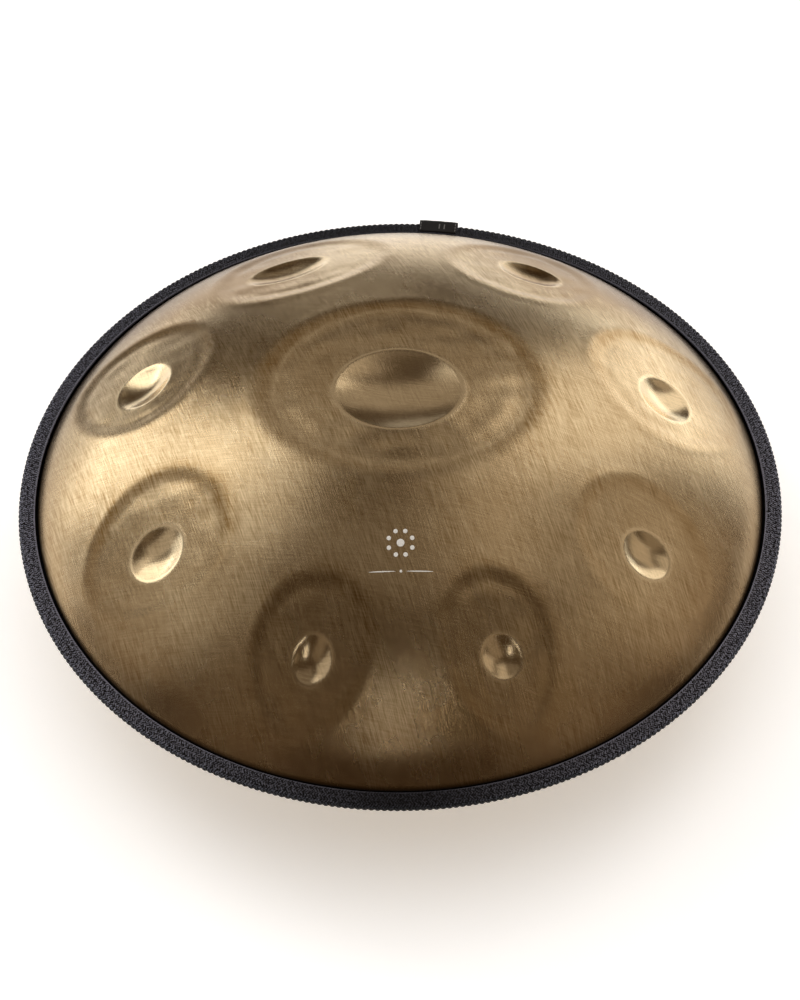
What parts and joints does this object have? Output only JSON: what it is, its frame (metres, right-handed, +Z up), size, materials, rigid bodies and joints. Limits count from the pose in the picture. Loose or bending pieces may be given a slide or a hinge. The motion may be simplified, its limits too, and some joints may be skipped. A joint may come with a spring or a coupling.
{
  "type": "handpan",
  "caption": "Closed lens-shaped steel hand drum with dimpled tone fields on top, a round port with a turned-in neck below and a woven tape folded over the rim.",
  "frame": {"origin": "on the playing axis, in the plane of the flat ring that the instrument rests on", "axes": "+Z up along the playing axis, -Y towards the player, +X to the player's right"},
  "size_m": [0.55, 0.5536, 0.2131],
  "materials": {
    "shell_steel": "nitrided sheet steel, hand brushed, golden bronze patina",
    "adhesive": "cured structural adhesive",
    "trim_tape": "herringbone woven tape",
    "tab_tape": "damask woven label tape",
    "thread": "twisted polyester thread"
  },
  "bodies": {
    "root": {"upper_shell": "shell_steel", "lower_shell": "shell_steel", "flange_bond": "adhesive", "rim_trim": "trim_tape", "trim_tab": "tab_tape", "tab_stitches": "thread"}
  },
  "joints": []
}
